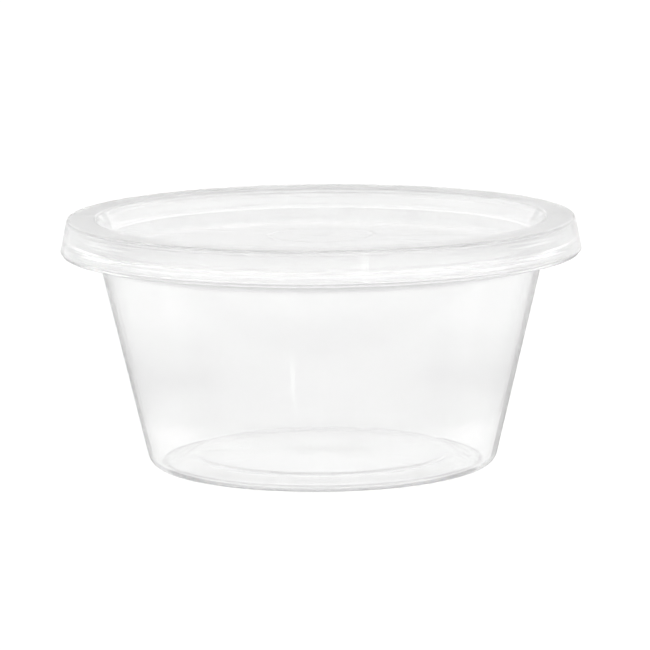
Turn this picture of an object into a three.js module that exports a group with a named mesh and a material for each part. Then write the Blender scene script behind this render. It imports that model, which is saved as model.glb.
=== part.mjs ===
// Sauce portion cup: a clear, round, tapered pot with its press-fit lid pressed shut.
// Both pieces are moulded in polypropylene about half a millimetre thick, and both are round,
// so each one is a closed outline turned about the upright axis.
// Millimetres, +Z up. The origin is the middle of the base, on the surface that the pot stands on.
import * as THREE from "three";

// Driving dimensions
const TOTAL_HEIGHT = 32.6; // foot of the cup to the top of the closed lid
const LID_DIAMETER = 68; // at the lower edge of the lid's skirt, the widest place
const FOOT_DIAMETER = 45.2; // where the line of the cup's side meets the surface it stands on
const SIDE_LEAN = 13.25; // degrees that the side leans outwards
const WALL = 0.5; // thickness of the cup and of the lid
const FIT = 0.05; // gap between the lid and the cup where they meet
const SEGMENTS = 72; // flats round each piece

// Lid
const LID_TOP_DIAMETER = 66.3; // outer corner of the flat ring on top
const SKIRT_HEIGHT = 4.6;
const RECESS_DIAMETER = 58.7; // inner corner of the ring, where the lid turns down
const RECESS_DEPTH = 2.55;
const RECESS_FLOOR_DIAMETER = 56.2;
const BEAD_TOP = 2.8; // below the top of the lid, down to where the snap bead starts
const BEAD_HEIGHT = 1.05;
const BEAD_DEPTH = 0.7; // that the bead stands in from the skirt
const MARK_RING_DIAMETER = 14.6; // raised ring in the middle of the lid
const MARK_RING_WIDTH = 0.9;
const MARK_RING_HEIGHT = 0.04;
const MARK_SLOPE = 0.3; // sideways run of the ring's and the dimple's edges
const GATE_DIAMETER = 2.2; // shallow dimple where the plastic entered the mould
const GATE_DEPTH = 0.04;

// Cup
const BOTTOM_CORNER = 1.9; // outer radius of the round edge between side and foot
const PANEL_DIAMETER = 34.4; // raised middle of the floor
const PANEL_HEIGHT = 1.69; // top of that raised middle above the foot
const STEP_WIDTH = 2.4; // sideways run of the gentle slope from the raised middle to the foot
const LIP_DIAMETER = 64.9; // turned-down edge of the rim
const LIP_HEIGHT = 2.15;
const LIP_BULGE = 0.3; // that the lower half of the lip stands out, for the lid to snap under
const BULGE_HEIGHT = 1.2;

// Radii of the small rounded corners
const FINE = 0.2;
const SOFT = 0.35;

const lean = THREE.MathUtils.degToRad(SIDE_LEAN);
const sideSlope = Math.tan(lean);
const rimTop = TOTAL_HEIGHT - WALL - FIT;

// Radius of the cup's outer face at a height, and of its inner face.
const outerSide = (z) => FOOT_DIAMETER / 2 + sideSlope * z;
const innerSide = (z) => outerSide(z) - WALL / Math.cos(lean);

// Points on a round corner about (r, z), between two directions in degrees (0 outwards, 90 up).
function corner(r, z, radius, from, to, steps) {
  return Array.from({ length: steps + 1 }, (_, i) => {
    const angle = THREE.MathUtils.degToRad(from + ((to - from) * i) / steps);
    return [r + radius * Math.cos(angle), z + radius * Math.sin(angle)];
  });
}

// Turns an outline of [radius, height] points, which starts and ends on the axis, into a named mesh.
function turned(name, outline, material) {
  const points = outline.map(([r, z]) => new THREE.Vector2(r, z));
  const geometry = new THREE.LatheGeometry(points, SEGMENTS);
  geometry.rotateX(Math.PI / 2);
  const mesh = new THREE.Mesh(geometry, material);
  mesh.name = name;
  return mesh;
}

// The cup, from the middle of its underside out, up the outside, over the rim and back down inside.
function cup() {
  const cornerRadius =
    outerSide(BOTTOM_CORNER) - BOTTOM_CORNER / Math.cos(lean);
  const panelUnder = PANEL_HEIGHT - WALL;
  const panelEdge = PANEL_DIAMETER / 2;
  const panelFoot = panelEdge + STEP_WIDTH;
  const stepLean = Math.atan2(panelUnder, STEP_WIDTH);
  const stepShift = WALL * Math.tan(stepLean / 2);
  const lipOuter = LIP_DIAMETER / 2;
  const lipBottom = rimTop - LIP_HEIGHT;
  const bulgeOuter = lipOuter + LIP_BULGE;
  const rimUnder = rimTop - WALL;

  const underside = [
    [0, panelUnder],
    [panelEdge - stepShift, panelUnder],
    [panelFoot - stepShift, 0],
  ];
  const outside = [
    ...corner(cornerRadius, BOTTOM_CORNER, BOTTOM_CORNER, -90, -SIDE_LEAN, 6),
    [outerSide(rimUnder - SOFT), rimUnder - SOFT],
    [outerSide(rimUnder) + SOFT, rimUnder],
  ];
  const lip = [
    [lipOuter - WALL, rimUnder],
    [lipOuter - WALL, lipBottom],
    [bulgeOuter - FINE, lipBottom],
    [bulgeOuter, lipBottom + FINE],
    [bulgeOuter, lipBottom + BULGE_HEIGHT - FINE],
    [lipOuter, lipBottom + BULGE_HEIGHT],
    ...corner(lipOuter - SOFT, rimTop - SOFT, SOFT, 0, 90, 3),
  ];
  const inside = [
    ...corner(innerSide(rimTop) + FINE, rimTop - FINE, FINE, 90, 180, 2),
    ...corner(
      cornerRadius,
      BOTTOM_CORNER,
      BOTTOM_CORNER - WALL,
      -SIDE_LEAN,
      -90,
      5,
    ),
    [panelFoot, WALL],
    [panelEdge, PANEL_HEIGHT],
    [0, PANEL_HEIGHT],
  ];
  const material = new THREE.MeshStandardMaterial({
    color: 0xf3f3f3,
    roughness: 0.12,
    metalness: 0,
    transparent: true,
    opacity: 0.3,
  });
  return turned("cup", [...underside, ...outside, ...lip, ...inside], material);
}

// The lid, from the middle of its underside out, down inside the skirt, up outside it and back over.
function lid() {
  const top = TOTAL_HEIGHT;
  const skirtBottom = top - SKIRT_HEIGHT;
  const skirtOuter = LID_DIAMETER / 2;
  const topOuter = LID_TOP_DIAMETER / 2;
  const flare = (skirtOuter - topOuter) / SKIRT_HEIGHT;
  const skirtInner = (z) =>
    topOuter + flare * (top - z) - WALL * Math.hypot(1, flare);
  const floorTop = top - RECESS_DEPTH;
  const floorEdge = RECESS_FLOOR_DIAMETER / 2;
  const recessEdge = RECESS_DIAMETER / 2;
  const recessSlope = (recessEdge - floorEdge) / RECESS_DEPTH;
  const plugOuter = (z) =>
    recessEdge - recessSlope * (top - z) + WALL * Math.hypot(1, recessSlope);
  const ringUnder = top - WALL;
  const beadTop = top - BEAD_TOP;
  const beadMiddle = beadTop - BEAD_HEIGHT / 2;
  const beadBottom = beadTop - BEAD_HEIGHT;
  const beadInner = skirtInner(beadMiddle) - BEAD_DEPTH;
  const markOuter = MARK_RING_DIAMETER / 2;
  const markInner = markOuter - MARK_RING_WIDTH;
  const gate = GATE_DIAMETER / 2;

  const underside = [
    [0, floorTop - WALL],
    [plugOuter(floorTop - WALL) - SOFT, floorTop - WALL],
    [plugOuter(floorTop - WALL + SOFT), floorTop - WALL + SOFT],
    [plugOuter(ringUnder), ringUnder],
    [skirtInner(ringUnder), ringUnder],
  ];
  const skirt = [
    [skirtInner(beadTop), beadTop],
    [beadInner, beadMiddle + FINE],
    [beadInner, beadMiddle - FINE],
    [skirtInner(beadBottom), beadBottom],
    [skirtInner(skirtBottom), skirtBottom],
    ...corner(skirtOuter - SOFT, skirtBottom + SOFT, SOFT, -90, 0, 3),
    ...corner(topOuter - SOFT, top - SOFT, SOFT, 10, 90, 3),
  ];
  const recess = [
    ...corner(recessEdge + SOFT, top - SOFT, SOFT, 90, 150, 3),
    [floorEdge + recessSlope * SOFT, floorTop + SOFT],
    [floorEdge - SOFT, floorTop],
    [markOuter, floorTop],
    [markOuter - MARK_SLOPE, floorTop + MARK_RING_HEIGHT],
    [markInner + MARK_SLOPE, floorTop + MARK_RING_HEIGHT],
    [markInner, floorTop],
    [gate, floorTop],
    [gate - MARK_SLOPE, floorTop - GATE_DEPTH],
    [0, floorTop - GATE_DEPTH],
  ];
  const material = new THREE.MeshStandardMaterial({
    color: 0xf5f5f5,
    roughness: 0.12,
    metalness: 0,
    transparent: true,
    opacity: 0.3,
  });
  return turned("lid", [...underside, ...skirt, ...recess], material);
}

const sauceCup = new THREE.Group();
sauceCup.add(cup(), lid());

export default sauceCup;
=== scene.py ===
import math

import bpy
from mathutils import Matrix, Vector


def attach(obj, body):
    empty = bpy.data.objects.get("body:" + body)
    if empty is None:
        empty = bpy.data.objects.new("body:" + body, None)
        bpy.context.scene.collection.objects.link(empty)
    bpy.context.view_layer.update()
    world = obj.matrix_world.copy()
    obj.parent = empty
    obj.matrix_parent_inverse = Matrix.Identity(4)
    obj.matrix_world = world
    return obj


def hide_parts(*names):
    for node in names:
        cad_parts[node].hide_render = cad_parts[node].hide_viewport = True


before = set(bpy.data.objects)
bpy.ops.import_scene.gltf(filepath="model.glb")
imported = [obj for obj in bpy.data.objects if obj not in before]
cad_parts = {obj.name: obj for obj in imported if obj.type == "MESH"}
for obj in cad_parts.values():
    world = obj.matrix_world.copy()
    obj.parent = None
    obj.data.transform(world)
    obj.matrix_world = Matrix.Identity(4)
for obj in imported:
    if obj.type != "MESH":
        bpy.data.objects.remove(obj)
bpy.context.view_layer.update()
mm = 0.001


# The cup ---------------------------------------------------------------------------------
# A round pot of clear polypropylene, moulded in one piece with a wall of half a millimetre.
# The middle of its floor stands up, its side leans outwards, and its rim turns out and down.
# It is made as the outline of its wall, which a node tree turns round the upright axis.
wall = 0.5 * mm
cup_height = 32.05 * mm
foot_radius = 22.6 * mm
side_lean = math.radians(13.25)
bottom_corner = 1.9 * mm
panel_radius = 17.2 * mm
panel_height = 1.69 * mm
panel_step = 2.4 * mm
panel_rounding = 2.4 * mm
lip_radius = 32.45 * mm
lip_height = 2.15 * mm
lip_bulge = 0.3 * mm
bulge_height = 1.2 * mm
mouth_rounding = 0.2 * mm
soft_rounding = 0.35 * mm
fine_rounding = 0.15 * mm
tight_rounding = 0.12 * mm
sharp_rounding = 0.1 * mm
bulge_slope = 0.2 * mm
flats_round = 256
corner_steps = 7
weld_distance = 0.001 * mm


def rounded_outline(corners):
    """Points of an outline of (radius, height, rounding) corners, with each corner rounded.
    A point just outside each rounding keeps the shading of the long flat faces level."""
    points = [Vector(corners[0][:2])]
    for before, here, after in zip(corners, corners[1:], corners[2:]):
        corner = Vector(here[:2])
        back = (Vector(before[:2]) - corner).normalized()
        on = (Vector(after[:2]) - corner).normalized()
        rounding = here[2]
        half = back.angle(on) / 2
        reach = rounding / math.tan(half)
        centre = corner + (back + on).normalized() * (rounding / math.sin(half))
        start = corner + back * reach - centre
        turn = math.pi - 2 * half
        if start.cross(on) < 0:
            turn = -turn
        support = 0.25 * rounding
        points.append(corner + back * (reach + support))
        for step in range(corner_steps + 1):
            angle = turn * step / corner_steps
            cos = math.cos(angle)
            sin = math.sin(angle)
            arm = Vector((start.x * cos - start.y * sin, start.x * sin + start.y * cos))
            points.append(centre + arm)
        points.append(corner + on * (reach + support))
    points.append(Vector(corners[-1][:2]))
    return points


def turning_tree():
    """Node tree that turns an outline in the XZ plane into a closed round wall."""
    tree = bpy.data.node_groups.new("Turned wall", "GeometryNodeTree")
    sockets = tree.interface
    sockets.new_socket("Outline", in_out="INPUT", socket_type="NodeSocketGeometry")
    flats = sockets.new_socket("Flats Round", in_out="INPUT", socket_type="NodeSocketInt")
    radius = sockets.new_socket("Turning Radius", in_out="INPUT", socket_type="NodeSocketFloat")
    sockets.new_socket("Plastic", in_out="INPUT", socket_type="NodeSocketMaterial")
    sockets.new_socket("Wall", in_out="OUTPUT", socket_type="NodeSocketGeometry")
    flats.default_value = flats_round
    radius.default_value = 10 * mm
    inputs = tree.nodes.new("NodeGroupInput")
    outputs = tree.nodes.new("NodeGroupOutput")

    inward = tree.nodes.new("ShaderNodeMath")
    inward.operation = "MULTIPLY"
    inward.inputs[1].default_value = -1
    shift = tree.nodes.new("ShaderNodeCombineXYZ")
    lay_flat = tree.nodes.new("GeometryNodeTransform")
    lay_flat.inputs["Rotation"].default_value = (math.pi / 2, 0, 0)
    section = tree.nodes.new("GeometryNodeMeshToCurve")
    circle = tree.nodes.new("GeometryNodeCurvePrimitiveCircle")
    turn = tree.nodes.new("GeometryNodeCurveToMesh")
    close = tree.nodes.new("GeometryNodeMergeByDistance")
    close.inputs["Distance"].default_value = weld_distance
    smooth = tree.nodes.new("GeometryNodeSetShadeSmooth")
    realize = tree.nodes.new("GeometryNodeRealizeInstances")
    finish = tree.nodes.new("GeometryNodeSetMaterial")

    link = tree.links.new
    link(inputs.outputs["Turning Radius"], inward.inputs[0])
    link(inward.outputs[0], shift.inputs["X"])
    link(inputs.outputs["Outline"], lay_flat.inputs["Geometry"])
    link(shift.outputs[0], lay_flat.inputs["Translation"])
    link(lay_flat.outputs[0], section.inputs["Mesh"])
    link(inputs.outputs["Flats Round"], circle.inputs["Resolution"])
    link(inputs.outputs["Turning Radius"], circle.inputs["Radius"])
    link(circle.outputs["Curve"], turn.inputs["Curve"])
    link(section.outputs["Curve"], turn.inputs["Profile Curve"])
    link(turn.outputs["Mesh"], close.inputs["Geometry"])
    link(close.outputs["Geometry"], smooth.inputs["Geometry"])
    link(smooth.outputs["Geometry"], realize.inputs["Geometry"])
    link(realize.outputs["Geometry"], finish.inputs["Geometry"])
    link(inputs.outputs["Plastic"], finish.inputs["Material"])
    link(finish.outputs["Geometry"], outputs.inputs["Wall"])
    return tree


def turned_piece(name, corners, plastic):
    """A piece of the cup, turned from the corners of its outline by the node tree."""
    points = rounded_outline(corners)
    outline = bpy.data.meshes.new(name)
    edges = [(i, i + 1) for i in range(len(points) - 1)]
    outline.from_pydata([(p.x, 0, p.y) for p in points], edges, [])
    piece = bpy.data.objects.new(name, outline)
    bpy.context.scene.collection.objects.link(piece)
    turner = piece.modifiers.new("Turned wall", "NODES")
    turner.node_group = turned_wall
    for socket in turned_wall.interface.items_tree:
        if socket.name == "Plastic":
            turner[socket.identifier] = plastic
    depsgraph = bpy.context.evaluated_depsgraph_get()
    mesh = bpy.data.meshes.new_from_object(piece.evaluated_get(depsgraph))
    piece.modifiers.clear()
    piece.data = mesh
    mesh.name = name
    return piece


def moulding_marks():
    """Shader group for moulded plastic: soft flow lines that run outwards from the gate and up
    the walls, slight clouds in the plastic, and the fine orange peel of the mould's polish."""
    marks = bpy.data.node_groups.new("Moulding marks", "ShaderNodeTree")
    sockets = marks.interface
    sockets.new_socket("Position", in_out="INPUT", socket_type="NodeSocketVector")
    lines = sockets.new_socket("Flow Lines Round", in_out="INPUT", socket_type="NodeSocketFloat")
    rise = sockets.new_socket("Change per Metre", in_out="INPUT", socket_type="NodeSocketFloat")
    peel = sockets.new_socket("Orange Peel Scale", in_out="INPUT", socket_type="NodeSocketFloat")
    clouds = sockets.new_socket("Cloud Scale", in_out="INPUT", socket_type="NodeSocketFloat")
    sockets.new_socket("Clearness", in_out="OUTPUT", socket_type="NodeSocketFloat")
    sockets.new_socket("Gloss", in_out="OUTPUT", socket_type="NodeSocketFloat")
    sockets.new_socket("Height", in_out="OUTPUT", socket_type="NodeSocketFloat")
    lines.default_value = 9
    rise.default_value = 40
    peel.default_value = 900
    clouds.default_value = 120
    nodes = marks.nodes
    link = marks.links.new
    inputs = nodes.new("NodeGroupInput")
    outputs = nodes.new("NodeGroupOutput")

    # A point on a circle of flow lines, so that the pattern closes on itself round the cup.
    level = nodes.new("ShaderNodeVectorMath")
    level.operation = "MULTIPLY"
    level.inputs[1].default_value = (1, 1, 0)
    outward = nodes.new("ShaderNodeVectorMath")
    outward.operation = "NORMALIZE"
    round_flow = nodes.new("ShaderNodeVectorMath")
    round_flow.operation = "SCALE"
    along_flow = nodes.new("ShaderNodeVectorMath")
    along_flow.operation = "SCALE"
    flow_point = nodes.new("ShaderNodeVectorMath")
    flow_point.operation = "ADD"
    flow = nodes.new("ShaderNodeTexNoise")
    flow.inputs["Scale"].default_value = 1
    flow.inputs["Detail"].default_value = 3
    link(inputs.outputs["Position"], level.inputs[0])
    link(level.outputs[0], outward.inputs[0])
    link(outward.outputs[0], round_flow.inputs[0])
    link(inputs.outputs["Flow Lines Round"], round_flow.inputs["Scale"])
    link(inputs.outputs["Position"], along_flow.inputs[0])
    link(inputs.outputs["Change per Metre"], along_flow.inputs["Scale"])
    link(round_flow.outputs[0], flow_point.inputs[0])
    link(along_flow.outputs[0], flow_point.inputs[1])
    link(flow_point.outputs[0], flow.inputs["Vector"])

    cloud = nodes.new("ShaderNodeTexNoise")
    cloud.inputs["Detail"].default_value = 2
    link(inputs.outputs["Position"], cloud.inputs["Vector"])
    link(inputs.outputs["Cloud Scale"], cloud.inputs["Scale"])
    skin = nodes.new("ShaderNodeTexNoise")
    skin.inputs["Detail"].default_value = 1
    link(inputs.outputs["Position"], skin.inputs["Vector"])
    link(inputs.outputs["Orange Peel Scale"], skin.inputs["Scale"])

    mottle = nodes.new("ShaderNodeMath")
    mottle.operation = "MULTIPLY"
    clearness = nodes.new("ShaderNodeMapRange")
    clearness.inputs["From Min"].default_value = 0.1
    clearness.inputs["From Max"].default_value = 0.45
    clearness.inputs["To Min"].default_value = 1.0
    clearness.inputs["To Max"].default_value = 0.995
    gloss = nodes.new("ShaderNodeMapRange")
    gloss.inputs["From Min"].default_value = 0.3
    gloss.inputs["From Max"].default_value = 0.7
    gloss.inputs["To Min"].default_value = 0.8
    gloss.inputs["To Max"].default_value = 1.25
    fine = nodes.new("ShaderNodeMath")
    fine.operation = "MULTIPLY_ADD"
    fine.inputs[1].default_value = 0.015
    link(flow.outputs["Fac"], mottle.inputs[0])
    link(cloud.outputs["Fac"], mottle.inputs[1])
    link(mottle.outputs[0], clearness.inputs["Value"])
    link(cloud.outputs["Fac"], gloss.inputs["Value"])
    link(skin.outputs["Fac"], fine.inputs[0])
    link(flow.outputs["Fac"], fine.inputs[2])
    link(clearness.outputs[0], outputs.inputs["Clearness"])
    link(gloss.outputs[0], outputs.inputs["Gloss"])
    link(fine.outputs[0], outputs.inputs["Height"])
    return marks


def handling_scuffs():
    """Shader group for the faint scuffs that stacking and packing leave on the surface."""
    scuffs = bpy.data.node_groups.new("Handling scuffs", "ShaderNodeTree")
    sockets = scuffs.interface
    sockets.new_socket("Position", in_out="INPUT", socket_type="NodeSocketVector")
    size = sockets.new_socket("Scuff Scale", in_out="INPUT", socket_type="NodeSocketFloat")
    spread = sockets.new_socket("Scuffed Share", in_out="INPUT", socket_type="NodeSocketFloat")
    sockets.new_socket("Scuffed", in_out="OUTPUT", socket_type="NodeSocketFloat")
    size.default_value = 350
    spread.default_value = 0.3
    nodes = scuffs.nodes
    link = scuffs.links.new
    inputs = nodes.new("NodeGroupInput")
    outputs = nodes.new("NodeGroupOutput")
    stretch = nodes.new("ShaderNodeMapping")
    stretch.inputs["Rotation"].default_value = (0.3, 0.2, 0.6)
    stretch.inputs["Scale"].default_value = (1, 6, 1.6)
    marks = nodes.new("ShaderNodeTexNoise")
    marks.inputs["Detail"].default_value = 4
    marks.inputs["Roughness"].default_value = 0.7
    patches = nodes.new("ShaderNodeTexNoise")
    patches.inputs["Scale"].default_value = 60
    least = nodes.new("ShaderNodeMath")
    least.operation = "SUBTRACT"
    least.inputs[0].default_value = 1
    both = nodes.new("ShaderNodeMath")
    both.operation = "MULTIPLY"
    pick = nodes.new("ShaderNodeMapRange")
    pick.inputs["From Max"].default_value = 1
    link(inputs.outputs["Position"], stretch.inputs["Vector"])
    link(stretch.outputs[0], marks.inputs["Vector"])
    link(inputs.outputs["Scuff Scale"], marks.inputs["Scale"])
    link(inputs.outputs["Position"], patches.inputs["Vector"])
    link(marks.outputs["Fac"], both.inputs[0])
    link(patches.outputs["Fac"], both.inputs[1])
    link(inputs.outputs["Scuffed Share"], least.inputs[1])
    link(least.outputs[0], pick.inputs["From Min"])
    link(both.outputs[0], pick.inputs["Value"])
    link(pick.outputs[0], outputs.inputs["Scuffed"])
    return scuffs


refraction = 1.49
scuff_roughness = 0.06
wave_depth = 0.05 * mm


def clear_plastic(name, haze, gloss_roughness, waviness):
    """Clear polypropylene, glossy and a little milky, with its moulding marks and scuffs."""
    material = bpy.data.materials.new(name)
    material.use_nodes = True
    nodes = material.node_tree.nodes
    link = material.node_tree.links.new
    shader = nodes["Principled BSDF"]
    shader.inputs["IOR"].default_value = refraction
    shader.inputs["Transmission Weight"].default_value = 1 - haze
    place = nodes.new("ShaderNodeTexCoord")
    marks = nodes.new("ShaderNodeGroup")
    marks.name = "Marks"
    marks.node_tree = moulding
    scuffs = nodes.new("ShaderNodeGroup")
    scuffs.node_tree = scuffing
    link(place.outputs["Object"], marks.inputs["Position"])
    link(place.outputs["Object"], scuffs.inputs["Position"])
    polish = nodes.new("ShaderNodeMath")
    polish.operation = "MULTIPLY"
    polish.inputs[1].default_value = gloss_roughness
    rubbed = nodes.new("ShaderNodeMath")
    rubbed.operation = "MULTIPLY_ADD"
    rubbed.inputs[1].default_value = scuff_roughness
    link(marks.outputs["Gloss"], polish.inputs[0])
    link(scuffs.outputs["Scuffed"], rubbed.inputs[0])
    link(polish.outputs[0], rubbed.inputs[2])
    link(rubbed.outputs[0], shader.inputs["Roughness"])
    waves = nodes.new("ShaderNodeBump")
    waves.inputs["Strength"].default_value = waviness
    waves.inputs["Distance"].default_value = wave_depth
    link(marks.outputs["Height"], waves.inputs["Height"])
    link(waves.outputs["Normal"], shader.inputs["Normal"])
    return material


def tint_plastic(material, tint, spreads):
    """Greys the plastic in soft bands, which are painted shade where they stand for a shadow.
    Each spread gives the share of the tint along the height above the foot or along the radius,
    in mm, and the shares are multiplied."""
    span = 40
    nodes = material.node_tree.nodes
    link = material.node_tree.links.new
    place = nodes.new("ShaderNodeTexCoord")
    split = nodes.new("ShaderNodeSeparateXYZ")
    level = nodes.new("ShaderNodeVectorMath")
    level.operation = "MULTIPLY"
    level.inputs[1].default_value = (1, 1, 0)
    radius = nodes.new("ShaderNodeVectorMath")
    radius.operation = "LENGTH"
    link(place.outputs["Object"], split.inputs[0])
    link(place.outputs["Object"], level.inputs[0])
    link(level.outputs[0], radius.inputs[0])
    measures = {"height": split.outputs["Z"], "radius": radius.outputs["Value"]}
    greyed = nodes.new("ShaderNodeMath")
    greyed.operation = "MULTIPLY"
    greyed.inputs[0].default_value = 1
    greyed.inputs[1].default_value = 1 - tint
    for measure, stops in spreads:
        reach = nodes.new("ShaderNodeMapRange")
        reach.inputs["From Max"].default_value = span * mm
        share = nodes.new("ShaderNodeValToRGB")
        ramp = share.color_ramp
        ramp.interpolation = "EASE"
        while len(ramp.elements) < len(stops):
            ramp.elements.new(0.5)
        for element, (place_mm, part) in zip(ramp.elements, stops):
            element.position = place_mm / span
            element.color = (part, part, part, 1)
        both = nodes.new("ShaderNodeMath")
        both.operation = "MULTIPLY"
        link(measures[measure], reach.inputs["Value"])
        link(reach.outputs["Result"], share.inputs["Fac"])
        link(share.outputs["Color"], both.inputs[0])
        link(greyed.outputs[0], both.inputs[1])
        greyed = both
    colour = nodes.new("ShaderNodeMath")
    colour.operation = "SUBTRACT"
    link(nodes["Marks"].outputs["Clearness"], colour.inputs[0])
    link(greyed.outputs[0], colour.inputs[1])
    link(colour.outputs[0], nodes["Principled BSDF"].inputs["Base Color"])


def side_radius(height):
    """Radius of the outer face of the cup's side at a height above the foot."""
    return foot_radius + math.tan(side_lean) * height


inner_side = wall / math.cos(side_lean)
rim_under = cup_height - wall
lip_bottom = cup_height - lip_height
lip_inner = lip_radius - wall
bulge_radius = lip_radius + lip_bulge
bulge_top = lip_bottom + bulge_height
panel_foot = panel_radius + panel_step
panel_under = panel_height - wall
step_lean = math.atan2(panel_under, panel_step)
step_shift = wall * math.tan(step_lean / 2)
cup_corners = [
    (0, panel_height, 0),
    (panel_radius, panel_height, panel_rounding + wall),
    (panel_foot, wall, panel_rounding),
    (side_radius(wall) - inner_side, wall, bottom_corner - wall),
    (side_radius(cup_height) - inner_side, cup_height, mouth_rounding),
    (lip_radius, cup_height, soft_rounding),
    (lip_radius, bulge_top, tight_rounding),
    (bulge_radius, bulge_top - bulge_slope, sharp_rounding),
    (bulge_radius, lip_bottom, fine_rounding),
    (lip_inner, lip_bottom, tight_rounding),
    (lip_inner, rim_under, fine_rounding),
    (side_radius(rim_under), rim_under, soft_rounding),
    (foot_radius, 0, bottom_corner),
    (panel_foot - step_shift, 0, panel_rounding + wall),
    (panel_radius - step_shift, panel_under, panel_rounding),
    (0, panel_under, 0),
]
turned_wall = turning_tree()
moulding = moulding_marks()
scuffing = handling_scuffs()
cup_plastic = clear_plastic("Cup plastic", haze=0.16, gloss_roughness=0.03, waviness=0.5)

# The cup is greyer on the lower half of its side, and a narrow ring just under the lid is
# painted shade, the shadow of the lid's skirt.
cup_grey_and_shade = 0.75
cup_grey_and_shade_up = [
    (0, 0.04),
    (5.5, 0.05),
    (9, 0.36),
    (13, 0.39),
    (18, 0.17),
    (22, 0.08),
    (26.3, 0.05),
    # From here to 28.2 mm: painted shade just under the lid's skirt.
    (27.3, 1),
    (27.8, 1),
    (28.2, 0.45),
]
tint_plastic(cup_plastic, cup_grey_and_shade, [("height", cup_grey_and_shade_up)])
cup = turned_piece("cup_pot", cup_corners, cup_plastic)
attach(cup, "root")
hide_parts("cup")


# The lid ---------------------------------------------------------------------------------
# A round cap of the same plastic. Its middle is sunk and plugs the mouth of the cup, a flat
# ring lies on the cup's rim, and a bead inside its flared skirt grips under the cup's lip.
# A plain raised ring and the dimple of the moulding gate mark its middle.
lid_top = 32.6 * mm
lid_top_radius = 33.15 * mm
skirt_radius = 34.08 * mm
skirt_height = 4.6 * mm
recess_radius = 29.35 * mm
recess_depth = 2.55 * mm
recess_floor_radius = 28.1 * mm
bead_drop = 2.8 * mm
bead_height = 1.05 * mm
bead_depth = 0.7 * mm
bead_crest = 0.2 * mm
mark_radius = 7.3 * mm
mark_width = 0.9 * mm
mark_height = 0.04 * mm
mark_slope = 0.3 * mm
mark_rounding = 0.3 * mm
plug_rounding = 0.6 * mm
gate_radius = 1.1 * mm
gate_depth = 0.04 * mm

flare = (skirt_radius - lid_top_radius) / skirt_height
recess_slope = (recess_radius - recess_floor_radius) / recess_depth
recess_floor = lid_top - recess_depth
ring_under = lid_top - wall
skirt_bottom = lid_top - skirt_height
bead_top = lid_top - bead_drop
bead_bottom = bead_top - bead_height
bead_middle = bead_top - bead_height / 2


def skirt_inside(height):
    """Radius of the inner face of the lid's skirt at a height."""
    return lid_top_radius + flare * (lid_top - height) - wall * math.hypot(1, flare)


def plug_outside(height):
    """Radius of the outer face of the lid's sunk plug at a height."""
    return recess_radius - recess_slope * (lid_top - height) + wall * math.hypot(1, recess_slope)


lid_corners = [
    (0, recess_floor - gate_depth, 0),
    (gate_radius - mark_slope, recess_floor - gate_depth, mark_rounding),
    (gate_radius, recess_floor, mark_rounding),
    (mark_radius - mark_width, recess_floor, mark_rounding),
    (mark_radius - mark_width + mark_slope, recess_floor + mark_height, mark_rounding),
    (mark_radius - mark_slope, recess_floor + mark_height, mark_rounding),
    (mark_radius, recess_floor, mark_rounding),
    (recess_floor_radius, recess_floor, soft_rounding),
    (recess_radius, lid_top, soft_rounding),
    (lid_top_radius, lid_top, soft_rounding),
    (skirt_radius, skirt_bottom, soft_rounding),
    (skirt_inside(skirt_bottom), skirt_bottom, sharp_rounding),
    (skirt_inside(bead_bottom), bead_bottom, fine_rounding),
    (skirt_inside(bead_middle) - bead_depth, bead_middle - bead_crest, fine_rounding),
    (skirt_inside(bead_middle) - bead_depth, bead_middle + bead_crest, fine_rounding),
    (skirt_inside(bead_top), bead_top, fine_rounding),
    (skirt_inside(ring_under), ring_under, fine_rounding),
    (plug_outside(ring_under), ring_under, tight_rounding),
    (plug_outside(recess_floor - wall), recess_floor - wall, plug_rounding),
    (0, recess_floor - wall, 0),
]
lid_plastic = clear_plastic("Lid plastic", haze=0.18, gloss_roughness=0.1, waviness=0.15)

# Painted shade: the lid is greyer on its flat ring, where it lies over the cup's rim.
ring_shade = 0.93
ring_shade_up = [(30.2, 0), (31.4, 0.7), (32.2, 1)]
ring_shade_out = [(29.2, 0), (30, 1)]
tint_plastic(lid_plastic, ring_shade, [("height", ring_shade_up), ("radius", ring_shade_out)])
lid = turned_piece("lid_cap", lid_corners, lid_plastic)
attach(lid, "root")
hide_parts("lid")


# The studio ------------------------------------------------------------------------------
# Plain white all round, with soft light from all sides. What the plastic mirrors is a tent with
# unequal bands, three soft lamps and a faint dark card. The levels were fitted, first by least
# squares and then one by one, so that the cup shows nearly the greys of the real one.

# Sine of the angle above the horizon, and the level of the mirrored tent there.
tent_bands = [
    (-1.0, 0.8),
    (-0.74, 0.8),
    (-0.68, 0.3),
    (-0.5, 0.3),
    (-0.45, 0.8),
    (-0.32, 0.76),
    (-0.27, 0.68),
    (-0.235, 0.58),
    (-0.2, 0.66),
    (-0.15, 0.82),
    (-0.07, 0.94),
    (0.02, 1.0),
    (0.07, 1.02),
    (0.1, 0.54),
    (0.122, 0.44),
    (0.131, 0.48),
    (0.1365, 0.6),
    (0.141, 1.1),
    (0.165, 1.25),
    (0.185, 1.0),
    (0.25, 0.95),
    (0.35, 1.1),
    (0.6, 1.05),
    (0.72, 0.75),
    (0.85, 0.5),
    (1.0, 0.45),
]

# The same for the light that the milky part of the plastic scatters.
milky_bands = [(-1.0, 1.5), (0.0, 1.5), (0.4, 1.65), (0.8, 1.6), (1.0, 1.35)]

# Bearing from the front and half width in degrees, height and half height, and level.
soft_lamps = [
    (0, 100, 0.25, 0.06, 0.7),
    (19, 0.7, 0.33, 0.08, 3.5),
    (20, 0.7, 0.21, 0.03, 1.0),
    (162, 14, -0.24, 0.07, -0.06),
]


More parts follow.
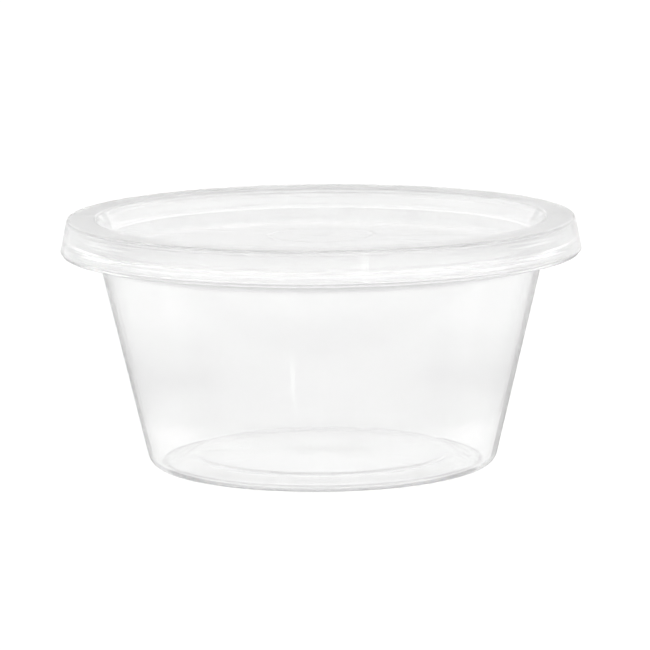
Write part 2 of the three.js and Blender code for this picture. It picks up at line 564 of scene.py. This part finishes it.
def soft_border(tree, measure, middle, half_width):
    """Mask that is 1 near the middle of a measure and falls off softly to either side."""
    away = tree.nodes.new("ShaderNodeMath")
    away.operation = "SUBTRACT"
    away.inputs[1].default_value = middle
    distance = tree.nodes.new("ShaderNodeMath")
    distance.operation = "ABSOLUTE"
    border = tree.nodes.new("ShaderNodeMapRange")
    border.interpolation_type = "SMOOTHSTEP"
    border.inputs["From Min"].default_value = 0.5 * half_width
    border.inputs["From Max"].default_value = 1.5 * half_width
    border.inputs["To Min"].default_value = 1
    border.inputs["To Max"].default_value = 0
    tree.links.new(measure, away.inputs[0])
    tree.links.new(away.outputs[0], distance.inputs[0])
    tree.links.new(distance.outputs[0], border.inputs["Value"])
    return border.outputs["Result"]


def tent_light(tree, direction_up, bands):
    """Brightness of the tent along its height, from the level of each of its bands."""
    share = tree.nodes.new("ShaderNodeMapRange")
    share.inputs["From Min"].default_value = -1
    height = tree.nodes.new("ShaderNodeValToRGB")
    tree.links.new(direction_up, share.inputs["Value"])
    tree.links.new(share.outputs["Result"], height.inputs["Fac"])
    ramp = height.color_ramp
    while len(ramp.elements) < len(bands):
        ramp.elements.new(0.5)
    for element, (up, level) in zip(ramp.elements, bands):
        element.position = (up + 1) / 2
        element.color = (level, level, level, 1)
    return height.outputs["Color"]


def studio_light():
    """World that is plain white where it is seen directly or through the plastic, the tent where
    it is mirrored, and at levels of its own where the milky plastic scatters it."""
    world = bpy.data.worlds.new("Studio")
    bpy.context.scene.world = world
    world.use_nodes = True
    world.cycles.sampling_method = "NONE"
    tree = world.node_tree
    tree.nodes.clear()
    link = tree.links.new
    direction = tree.nodes.new("ShaderNodeTexCoord")
    split = tree.nodes.new("ShaderNodeSeparateXYZ")
    link(direction.outputs["Generated"], split.inputs[0])
    bearing = tree.nodes.new("ShaderNodeMath")
    bearing.operation = "ARCTAN2"
    front = tree.nodes.new("ShaderNodeMath")
    front.operation = "MULTIPLY"
    front.inputs[1].default_value = -1
    link(split.outputs["X"], bearing.inputs[0])
    link(split.outputs["Y"], front.inputs[0])
    link(front.outputs[0], bearing.inputs[1])
    total = tent_light(tree, split.outputs["Z"], tent_bands)
    for angle, half_width, lamp_height, half_height, level in soft_lamps:
        across = soft_border(
            tree, bearing.outputs[0], math.radians(angle), math.radians(half_width)
        )
        upward = soft_border(tree, split.outputs["Z"], lamp_height, half_height)
        lamp = tree.nodes.new("ShaderNodeMath")
        lamp.operation = "MULTIPLY"
        added = tree.nodes.new("ShaderNodeMath")
        added.operation = "MULTIPLY_ADD"
        added.inputs[1].default_value = level
        link(across, lamp.inputs[0])
        link(upward, lamp.inputs[1])
        link(lamp.outputs[0], added.inputs[0])
        link(total, added.inputs[2])
        total = added.outputs[0]

    path = tree.nodes.new("ShaderNodeLightPath")
    mirrored = tree.nodes.new("ShaderNodeMath")
    mirrored.operation = "GREATER_THAN"
    mirrored.inputs[1].default_value = 0.5
    link(path.outputs["Glossy Depth"], mirrored.inputs[0])
    scattered = tree.nodes.new("ShaderNodeMath")
    scattered.operation = "GREATER_THAN"
    scattered.inputs[1].default_value = 0.5
    link(path.outputs["Diffuse Depth"], scattered.inputs[0])
    white = tree.nodes.new("ShaderNodeBackground")
    white.inputs["Color"].default_value = (1, 1, 1, 1)
    white.inputs["Strength"].default_value = 1
    reflected = tree.nodes.new("ShaderNodeBackground")
    reflected.inputs["Strength"].default_value = 1
    link(total, reflected.inputs["Color"])
    inside = tree.nodes.new("ShaderNodeBackground")
    link(tent_light(tree, split.outputs["Z"], milky_bands), inside.inputs["Color"])
    inside.inputs["Strength"].default_value = 1
    choose = tree.nodes.new("ShaderNodeMixShader")
    link(mirrored.outputs[0], choose.inputs["Fac"])
    link(white.outputs[0], choose.inputs[1])
    link(reflected.outputs[0], choose.inputs[2])
    soften = tree.nodes.new("ShaderNodeMixShader")
    link(scattered.outputs[0], soften.inputs["Fac"])
    link(choose.outputs[0], soften.inputs[1])
    link(inside.outputs[0], soften.inputs[2])
    out = tree.nodes.new("ShaderNodeOutputWorld")
    link(soften.outputs[0], out.inputs["Surface"])


studio_light()


# The table -------------------------------------------------------------------------------
# A round white table, which glows evenly so that it stays white all round the cup. The soft
# shade under the foot is painted on it, round a point a little behind the middle. Mirrored
# rays pass through the table, and it is not seen from below.
table_radius = 1.5
table_sides = 96
table_drop = 0.02 * mm
table_glow = 0.92
matt_grey = (0.1, 0.1, 0.1, 1)
contact_radius = 20.6 * mm
contact_border = 0.6 * mm
shade_middle = (0, 5 * mm, 0)
shade_span = 30
contact_shade = [(0, 1), (12, 1), (17, 0.82), (20, 0.7), (22.5, 0.7), (25, 0.85), (30, 0.9)]


def table_material():
    """Even white glow, darker in the shade under the foot, with a faint matt layer over it."""
    material = bpy.data.materials.new("White table")
    material.use_nodes = True
    tree = material.node_tree
    tree.nodes.clear()
    link = tree.links.new
    glow = tree.nodes.new("ShaderNodeEmission")
    glow.inputs["Strength"].default_value = table_glow
    place = tree.nodes.new("ShaderNodeTexCoord")
    radius = tree.nodes.new("ShaderNodeVectorMath")
    radius.operation = "LENGTH"
    outside = tree.nodes.new("ShaderNodeMapRange")
    outside.inputs["From Min"].default_value = contact_radius
    outside.inputs["From Max"].default_value = contact_radius + contact_border
    from_middle = tree.nodes.new("ShaderNodeVectorMath")
    from_middle.operation = "DISTANCE"
    from_middle.inputs[1].default_value = shade_middle
    reach = tree.nodes.new("ShaderNodeMapRange")
    reach.inputs["From Max"].default_value = shade_span * mm
    lit = tree.nodes.new("ShaderNodeMath")
    lit.operation = "MAXIMUM"
    shade = tree.nodes.new("ShaderNodeValToRGB")
    shade.color_ramp.interpolation = "EASE"
    while len(shade.color_ramp.elements) < len(contact_shade):
        shade.color_ramp.elements.new(0.5)
    for element, (out_mm, level) in zip(shade.color_ramp.elements, contact_shade):
        element.position = out_mm / shade_span
        element.color = (level, level, level, 1)
    matt = tree.nodes.new("ShaderNodeBsdfDiffuse")
    matt.inputs["Color"].default_value = matt_grey
    both = tree.nodes.new("ShaderNodeAddShader")
    gone = tree.nodes.new("ShaderNodeBsdfTransparent")
    path = tree.nodes.new("ShaderNodeLightPath")
    geometry = tree.nodes.new("ShaderNodeNewGeometry")
    hidden = tree.nodes.new("ShaderNodeMath")
    hidden.operation = "ADD"
    hidden.use_clamp = True
    mix = tree.nodes.new("ShaderNodeMixShader")
    out = tree.nodes.new("ShaderNodeOutputMaterial")
    link(place.outputs["Object"], radius.inputs[0])
    link(place.outputs["Object"], from_middle.inputs[0])
    link(radius.outputs["Value"], outside.inputs["Value"])
    link(from_middle.outputs["Value"], reach.inputs["Value"])
    link(reach.outputs["Result"], shade.inputs["Fac"])
    link(shade.outputs["Color"], lit.inputs[0])
    link(outside.outputs["Result"], lit.inputs[1])
    link(lit.outputs[0], glow.inputs["Color"])
    link(glow.outputs[0], both.inputs[0])
    link(matt.outputs[0], both.inputs[1])
    link(path.outputs["Glossy Depth"], hidden.inputs[0])
    link(geometry.outputs["Backfacing"], hidden.inputs[1])
    link(hidden.outputs[0], mix.inputs["Fac"])
    link(both.outputs[0], mix.inputs[1])
    link(gone.outputs[0], mix.inputs[2])
    link(mix.outputs[0], out.inputs["Surface"])
    return material


def round_table(radius, sides):
    """Flat disc of triangles round a middle point."""
    points = [(0, 0, 0)]
    for i in range(sides):
        angle = 2 * math.pi * i / sides
        points.append((radius * math.cos(angle), radius * math.sin(angle), 0))
    faces = [(0, 1 + i, 1 + (i + 1) % sides) for i in range(sides)]
    mesh = bpy.data.meshes.new("table")
    mesh.from_pydata(points, [], faces)
    return bpy.data.objects.new("table", mesh)


table = round_table(table_radius, table_sides)
table.location.z = -table_drop
table.data.materials.append(table_material())
bpy.context.scene.collection.objects.link(table)


# The camera ------------------------------------------------------------------------------
# A long lens 0.6 m from the middle of the cup, which looks down at it by nine degrees and is
# rolled by half a degree. It was fitted to the outlines of the cup's round edges.
camera_distance = 0.6
camera_height = math.radians(9.076)
camera_roll = math.radians(-0.489)
looked_at = Vector((0, 0, 16.3 * mm))
aim_right = 0.434 * mm
aim_up = 1.81 * mm
focal_pixels = 4576.7
picture_pixels = 650
sensor_width = 36
toward = Vector((0, -math.cos(camera_height), math.sin(camera_height)))
right = Vector((1, 0, 0))
up = toward.cross(right)
lens = bpy.data.cameras.new("Camera")
lens.sensor_width = sensor_width
lens.lens = sensor_width * focal_pixels / picture_pixels
lens.clip_start = 0.01
lens.clip_end = 10
camera = bpy.data.objects.new("Camera", lens)
bpy.context.scene.collection.objects.link(camera)
camera.location = looked_at + toward * camera_distance
sight = (camera.location - (looked_at + right * aim_right + up * aim_up)).normalized()
level_right = Vector((0, 0, 1)).cross(sight).normalized()
level_up = sight.cross(level_right)
camera_right = level_right * math.cos(camera_roll) + level_up * math.sin(camera_roll)
camera_up = level_up * math.cos(camera_roll) - level_right * math.sin(camera_roll)
camera.matrix_world = Matrix.Translation(camera.location) @ Matrix(
    (camera_right, camera_up, sight)
).transposed().to_4x4()
bpy.context.scene.camera = camera


# The picture -----------------------------------------------------------------------------
# Plain colours, and enough bounces of light to pass through all the clear walls that lie one
# behind the other.
scene = bpy.context.scene
scene.view_settings.view_transform = "Standard"
scene.cycles.max_bounces = 128
scene.cycles.transmission_bounces = 128
scene.cycles.glossy_bounces = 128
scene.cycles.diffuse_bounces = 32
scene.cycles.transparent_max_bounces = 64
scene.cycles.blur_glossy = 0
